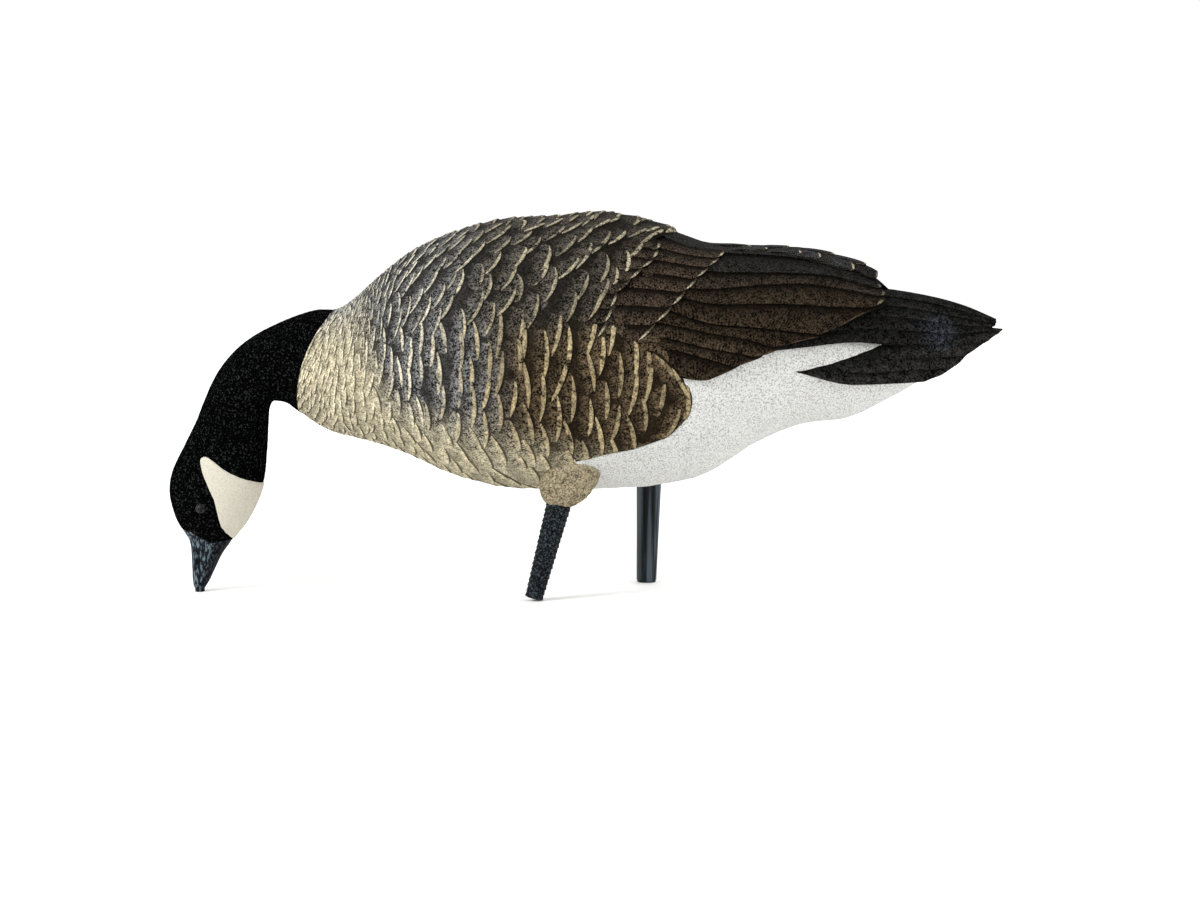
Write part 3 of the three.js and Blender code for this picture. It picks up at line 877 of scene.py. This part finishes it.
def neck_and_head():
    def ring(u, v):
        angle = 2 * math.pi * u
        around = np.abs(centred(angle))
        end = between(BILL_EDGE, np.degrees(around))
        tucked = -1.2 * smooth(0.985, 1, v)
        return skin(mix(seam_at(around) + SEAM_GAP, end, v), angle, tucked)

    piece = tube("neck_and_head", 72, 130, ring)
    roughen(piece, 2.2, 0.5)
    return smooth_edges(piece, 60)


def cheek_patch():
    """The white patch that runs from cheek to cheek under the chin."""
    def place(u, v):
        top = CHEEK[0, 0]
        outside = v < 0.5
        share = np.where(outside, 2 * v, 2 * (1 - v))
        degrees = mix(top, 360 - top, u)
        around = np.minimum(degrees, 360 - degrees)
        t = mix(between(CHEEK, around, 1), between(CHEEK, around, 2), share)
        edge = np.minimum(1, np.minimum(share, 1 - share) * 30)
        return skin(t, np.radians(degrees), np.where(outside, -0.2 + 1.1 * edge, -0.8))

    piece = edit(sheet("cheek_patch", 90, 40, place), weld, face_out)
    return smooth_edges(piece, 60)


def bill():
    """The bill: two mandibles that meet in a groove, sunk nostrils and a blunt nail."""
    def ring(u, v):
        angle = 2 * math.pi * u
        around = np.degrees(np.abs(centred(angle)))
        t = mix(BILL_START, LAST_RIB, v)
        mouth = smooth(29.3, 30.2, t) * (1 - smooth(33.2, 34, t))
        groove = -1.1 * np.exp(-(((around - MOUTH_ANGLE) / 7) ** 2)) * mouth
        round_by, along_by = (around - NOSTRIL[0]) ** 2, (t - NOSTRIL[1]) ** 2
        nostril = -1.7 * np.exp(-round_by / 13**2 - along_by / 0.5**2)
        brim = 0.5 * np.exp(-round_by / 25**2 - along_by / 0.85**2)
        nail = 0.5 * smooth(33, 33.6, t) * (1 - smooth(33.6, 34, t)) * (around < 60)
        tucked = -0.5 * (1 - smooth(29.5, 30.2, t))
        places = skin(t, angle, groove + nostril + brim + nail + tucked)
        places[v > 0.999, 2] = 0.0
        return places

    piece = tube("bill", 64, 44, ring)
    x, _, z = points_of(piece).T / MM
    front, rear = (np.interp(z, RIBS[::-1, k + 1], RIBS[::-1, k]) for k in (0, 2))
    back = (x - front) / (rear - front)
    # The culmen side is painted lighter and the mouth side darker: a painted highlight
    upper = 1 - smooth(0.5, 0.8, back)
    # Painted shade in the sunk nostrils
    sunk = np.exp(-(((back - 0.27) / 0.12) ** 2) - ((z - NOSTRIL_HEIGHT) / 7) ** 2)
    body = mix(BILL_BLUE, BILL_HIGHLIGHT, upper[:, None]) * (1 - 0.9 * sunk[:, None])
    paint_points(piece, "body_paint", body)
    return smooth_edges(piece, 60)


def eye(name, side):
    x, y, z, radius = EYE
    deselect()
    bpy.ops.mesh.primitive_uv_sphere_add(segments=32, ring_count=20, radius=radius * MM)
    piece = named(name)
    piece.data.transform(Matrix.Translation(Vector((x, side * y, z)) * MM))
    return smooth_edges(piece, 180)


def leg(name, numbers, scaly):
    top_x, top_z, bottom_x, y, top_radius, bottom_radius = numbers
    top = np.array([top_x, y, top_z])
    axis = top - [bottom_x, y, 0]
    axis /= np.linalg.norm(axis)
    length = (top_z - abs(axis[0]) * bottom_radius) / axis[2]
    forward = np.cross([0, 1, 0], axis)

    def ring(u, v):
        angle = 2 * math.pi * u
        down = v * length
        radius = mix(top_radius, bottom_radius, v)
        if scaly:
            band, saw = np.divmod(down / SCUTE_LENGTH, 1)
            scute = np.abs(np.sin(angle * 4 + (band % 2) * math.pi / 2))
            radius = radius - SCUTE_DEPTH * (1 - saw**1.5 * (0.55 + 0.45 * scute))
        radius = radius - 0.7 * smooth(length - 1, length, down) ** 2
        spoke = np.outer(np.cos(angle), forward) + np.outer(np.sin(angle), [0, 1, 0])
        return top - np.outer(down, axis) + spoke * radius[:, None]

    return smooth_edges(tube(name, 48, 150 if scaly else 40, ring), 45)


# Materials

class Finish:
    """A material whose nodes are added one by one and read Object coordinates."""

    def __init__(self, name, roughness, **sockets):
        self.material = bpy.data.materials.new(name)
        self.material.use_nodes = True
        self.tree = self.material.node_tree
        self.shader = self.tree.nodes["Principled BSDF"]
        self.shader.inputs["Roughness"].default_value = roughness
        for socket, value in sockets.items():
            self.shader.inputs[socket.replace("_", " ")].default_value = value
        self.place = self.tree.nodes.new("ShaderNodeTexCoord").outputs["Object"]

    def node(self, kind, inputs, output=0, **settings):
        """Adds a node, each of its inputs either a value or the output of another node."""
        made = self.tree.nodes.new("ShaderNode" + kind)
        for key, value in settings.items():
            setattr(made, key, value)
        for key, value in inputs.items():
            socket = made.inputs[key]
            if hasattr(value, "is_output"):
                self.tree.links.new(value, socket)
            else:
                socket.default_value = (*value, 1) if socket.type == "RGBA" else value
        return made.outputs[output]

    def attribute(self, name):
        return self.node("Attribute", {}, "Color", attribute_name=name)

    def noise(self, size, detail=2.0, place=None):
        """Noise with grains of a size in millimetres."""
        inputs = {"Vector": place or self.place, "Scale": 1 / (size * MM), "Detail": detail}
        return self.node("TexNoise", inputs)

    def stretched(self, share):
        """Object coordinates for noise that runs up and down, longer the smaller the share."""
        return self.node("Mapping", {"Vector": self.place, "Scale": (1, 1, share)})

    def spread(self, value, low, high, to_low, to_high, kind="LINEAR"):
        inputs = {"Value": value, "From Min": low, "From Max": high, "To Min": to_low, "To Max": to_high}
        return self.node("MapRange", inputs, interpolation_type=kind)

    def step(self, value, low, high):
        return self.spread(value, low, high, 0.0, 1.0, "SMOOTHSTEP")

    def math(self, operation, a, b=0.0, c=0.0):
        return self.node("Math", {0: a, 1: b, 2: c}, operation=operation)

    def plus(self, a, b):
        return self.math("ADD", a, b)

    def times(self, a, b):
        return self.math("MULTIPLY", a, b)

    def blend(self, share, a, b, kind="MIX"):
        # By number, because the node has a share, an A and a B for each type of data
        return self.node("Mix", {0: share, 6: a, 7: b}, 2, data_type="RGBA", blend_type=kind)

    def tinted(self, colour, tint):
        return self.blend(1.0, colour, tint, "MULTIPLY")

    def done(self, colour, height=None, depth=0.0):
        """The material, with its colour and with a bump of a depth in millimetres."""
        self.tree.links.new(colour, self.shader.inputs["Base Color"])
        if height is not None:
            bump = self.node("Bump", {"Height": height, "Distance": depth * MM, "Strength": 1.0})
            self.tree.links.new(bump, self.shader.inputs["Normal"])
        return self.material


def plumage_paint(name, rim=0.0, taper=0.0, cover_shade=0.0, gap_shade=0.0, contrast=1.0, barb_tone=0.0):
    """Painted feathers: mottled, with a pale rim at the tip, painted shade where the next ones cover them,
    and painted shade on their undersides and walls.

    A pale rim is so wide and tapers so soon to the sides, cover_shade is painted shade on what lies under the
    next row, and gap_shade painted shade on the side under the next feather, whose outer side is painted
    lighter.
    """
    finish = Finish(name, 0.85, Specular_IOR_Level=0.02)
    body, edge = finish.attribute("body_paint"), finish.attribute("edge_paint")
    # The colour of painted shade on a feather
    shade_colour = finish.tinted(body, SHADE_TINT)
    uv = finish.node("UVMap", {}, uv_map="UVMap")
    across, from_tip = (finish.node("SeparateXYZ", {0: uv}, axis) for axis in "XY")
    side = finish.math("ABSOLUTE", finish.math("MULTIPLY_ADD", across, 2.0, -1.0))
    grain, fine, patches = finish.noise(1.5, 3.0), finish.noise(0.9), finish.noise(5.5)
    barbs = finish.math("SINE", finish.plus(finish.times(from_tip, 60.0), finish.times(side, 22.0)))

    colour = body
    clean = 0.0
    # Painted light: the outer side of a wing feather lighter, the lit end of the painted shade across it
    if gap_shade:
        outer = finish.times(finish.step(across, 0.55, 1.0), 0.6)
        colour = finish.blend(outer, colour, finish.tinted(body, OUTER_TINT))
    if rim:
        wander = finish.spread(finish.noise(3), 0, 1, -0.5 * rim, 0.5 * rim)
        width = finish.math("MULTIPLY_ADD", finish.math("POWER", side, 5.0), -taper * rim, rim)
        pale = finish.math("SUBTRACT", width, finish.plus(from_tip, wander))
        pale = finish.step(pale, -0.1 * rim, 0.1 * rim)
        pale = finish.times(pale, finish.step(from_tip, -0.1, -0.02))
        clean = finish.times(pale, finish.step(finish.noise(9), 0.3, 0.46))
        colour = finish.blend(clean, colour, finish.tinted(edge, RIM_TINT))
    # Dark feathers are mottled the most, and the rims the least
    darkness = finish.spread(finish.node("SeparateColor", {"Color": body}, "Red"), 0.1, 0.3, 1.0, 0.42)
    darkness = finish.math("MAXIMUM", finish.math("SUBTRACT", darkness, clean), 0.4)
    cloudy = finish.spread(patches, 0.35, 0.65, -0.55, 0.55)
    uneven = finish.plus(finish.spread(grain, 0.41, 0.59, -0.95, 0.95), cloudy)
    mottle = finish.math("MULTIPLY_ADD", uneven, finish.times(darkness, contrast), 1.0)
    mottle = finish.plus(finish.math("MAXIMUM", mottle, 0.05), finish.times(barbs, barb_tone))
    colour = finish.tinted(colour, mottle)
    colour = finish.blend(finish.times(finish.step(fine, 0.6, 0.7), 0.35 * contrast), colour, edge)
    # Painted shade on what lies under the next row of feathers
    if cover_shade:
        ragged = finish.plus(from_tip, finish.spread(finish.noise(2.5), 0, 1, -0.2, 0.2))
        covered = finish.times(finish.spread(ragged, 0.5, 1.05, 0.0, cover_shade), darkness)
        colour = finish.blend(covered, colour, shade_colour)
    # Painted shade along the side that lies under the next feather
    if gap_shade:
        beside = finish.step(finish.plus(across, finish.times(finish.noise(4), 0.1)), 0.72, 0.36)
        colour = finish.blend(finish.times(beside, gap_shade), colour, shade_colour)
    # Painted shade on the underside and the walls of each feather
    under = finish.step(from_tip, -0.01, -0.08)
    colour = finish.blend(finish.times(under, 0.9), colour, shade_colour)
    return finish.done(colour, finish.plus(grain, finish.times(barbs, barb_tone)), 0.5)


def flock(name, colour, speck, size, amount, depth, ends=(0.45, 0.66)):
    """Short flock with specks of a size in millimetres, which show between the two ends of the noise."""
    finish = Finish(name, 1.0, Specular_IOR_Level=0.0)
    grain, fine = finish.noise(size, 3.0), finish.noise(size * 0.5)
    tone = finish.blend(finish.times(finish.step(grain, *ends), amount), colour, speck)
    return finish.done(tone, finish.plus(grain, fine), depth)


def bill_paint():
    """Blue-black paint, darkened except for pale streaks along the bill that are painted highlight."""
    finish = Finish("bill_paint", 0.5, Specular_IOR_Level=0.04)
    body = finish.attribute("body_paint")
    along = finish.stretched(0.35)
    # The pale streaks are painted highlight
    pale_marks = finish.step(finish.noise(2.0, 5.0, along), 0.48, 0.61)
    colour = finish.blend(pale_marks, finish.tinted(body, (0.05, 0.05, 0.06)), body)
    return finish.done(colour, finish.noise(1.2, 2.0, along), 0.5)


def leg_paint(name, roughness, refraction, pale_tone, width, stretch, depth):
    """Dark moulded plastic with paler spots; stretched along the leg the spots become streaks, which on the
    smooth leg are painted highlight bands.
    """
    finish = Finish(name, roughness, IOR=refraction)
    pale_marks = finish.step(finish.noise(width, 3.0, finish.stretched(1 / stretch)), 0.47, 0.66)
    colour = finish.blend(pale_marks, LEG_BLUE * 0.1, LEG_BLUE * pale_tone)
    return finish.done(colour, finish.noise(1.2), depth)


def eye_gloss():
    finish = Finish("eye_gloss", 0.3, Specular_IOR_Level=0.12)
    return finish.done(finish.blend(finish.step(finish.noise(1.8), 0.4, 0.65), BLACK_FLOCK, EYE_SHINE))


def dress(piece, material, slot="painted_plumage", *nodes):
    """Gives a piece its material, puts it under the root and hides the CAD parts that it stands for; slot is
    not used.
    """
    piece.data.materials.clear()
    piece.data.materials.append(material)
    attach(piece, "root")
    if nodes:
        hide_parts(*nodes)
    return piece


# Stage, light and camera

CAMERA_DISTANCE = 3.0
CAMERA_ELEVATION = math.radians(5.5)
CAMERA_TARGET = Vector((0.01392, 0, 0.1237))
CAMERA_LENS = 103.44
LAMP_TARGET = Vector((0, 0, 0.15))
LAMPS = (  # name, place, size, power
    ("key", (-2.3, -1.9, 1.9), 1.0, 75),
    ("side", (2.6, -0.7, 1.0), 1.0, 18),
    ("back", (0.4, 2.4, 2.4), 2.5, 40),
)
WORLD_STRENGTH = 1.05


def set_up(data, place, target):
    """Puts a camera or a lamp in place, looking at its target."""
    made = bpy.data.objects.new(data.name, data)
    made.location = place
    made.rotation_euler = (target - Vector(place)).to_track_quat("-Z", "Y").to_euler()
    bpy.context.scene.collection.objects.link(made)
    return made


def stage_and_camera():
    scene = bpy.context.scene
    scene.view_settings.view_transform = "Standard"
    deselect()
    bpy.ops.mesh.primitive_plane_add(size=12)
    floor = named("floor")
    surface = Finish("floor_paint", 0.9)
    white = surface.blend(surface.noise(400), (0.93, 0.93, 0.93), (0.95, 0.95, 0.95))
    floor.data.materials.append(surface.done(white))

    camera_data = bpy.data.cameras.new("camera")
    camera_data.lens = CAMERA_LENS
    back = Vector((0, -math.cos(CAMERA_ELEVATION), math.sin(CAMERA_ELEVATION)))
    camera_place = CAMERA_TARGET + back * CAMERA_DISTANCE
    scene.camera = set_up(camera_data, camera_place, CAMERA_TARGET)

    for name, place, size, power in LAMPS:
        lamp_data = bpy.data.lights.new(name, "AREA")
        lamp_data.size = size
        lamp_data.energy = power
        set_up(lamp_data, place, LAMP_TARGET)

    world = bpy.data.worlds.new("studio")
    world.use_nodes = True
    light = world.node_tree.nodes["Background"]
    light.inputs["Color"].default_value = (1, 1, 1, 1)
    light.inputs["Strength"].default_value = WORLD_STRENGTH
    scene.world = world


stage_and_camera()

back_paint = plumage_paint("back_feather_paint", rim=0.16, taper=2.5, cover_shade=0.85, contrast=1.15)
flank_paint = plumage_paint("flank_feather_paint", rim=0.24, taper=2.5, cover_shade=0.85, contrast=1.15)
thigh_paint = plumage_paint("thigh_paint", contrast=0.8)
wing_paint = plumage_paint("wing_feather_paint", rim=0.085, taper=0.4, gap_shade=0.9, barb_tone=0.3)
black_paint = plumage_paint("black_feather_paint", gap_shade=0.4, barb_tone=0.1)
black_flock = flock("black_flock", BLACK_FLOCK, BLACK_SPECK, 1.7, amount=0.9, depth=0.5, ends=(0.54, 0.68))
white_flock = flock("white_flock", WHITE_FLOCK, WHITE_SPECK, 1.3, amount=0.85, depth=0.8)
cheek_flock = flock("cheek_flock", CHEEK_WHITE, CHEEK_SPECK, 1.6, amount=0.4, depth=0.3)
scaly_plastic = leg_paint(
    "scaly_leg_plastic", roughness=0.6, refraction=1.15, pale_tone=2.8, width=1.6, stretch=1, depth=0.4
)
# The smooth leg's pale streaks are painted highlight bands
smooth_plastic = leg_paint(
    "smooth_leg_plastic", roughness=0.25, refraction=1.2, pale_tone=4.0, width=5.0, stretch=50, depth=0.05
)

dress(body_casting(), flank_paint, "painted_plumage", "body")
dress(white_belly(), white_flock, "white_flock")
for group in scale_feathers():
    dress(group, back_paint if group.name == "back_feathers" else flank_paint)
dress(folded_wings(), wing_paint)
dress(wing_feathers(1, "left_wing_feathers"), wing_paint)
dress(wing_feathers(-1, "right_wing_feathers"), wing_paint)
dress(primaries(), black_paint)
dress(tail_feathers(), black_paint)
for thigh_name in THIGHS:
    dress(thigh(thigh_name), thigh_paint)
dress(neck_and_head(), black_flock, "flocked_head", "head_and_neck")
dress(cheek_patch(), cheek_flock, "white_flock")
dress(bill(), bill_paint(), "bill_and_eyes")
eye_paint = eye_gloss()
dress(eye("left_eye", -1), eye_paint, "bill_and_eyes")
dress(eye("right_eye", 1), eye_paint, "bill_and_eyes")
dress(leg("left_leg_scaly", LEG_LEFT, True), scaly_plastic, "leg_plastic", "left_leg")
dress(leg("right_leg_smooth", LEG_RIGHT, False), smooth_plastic, "leg_plastic", "right_leg")
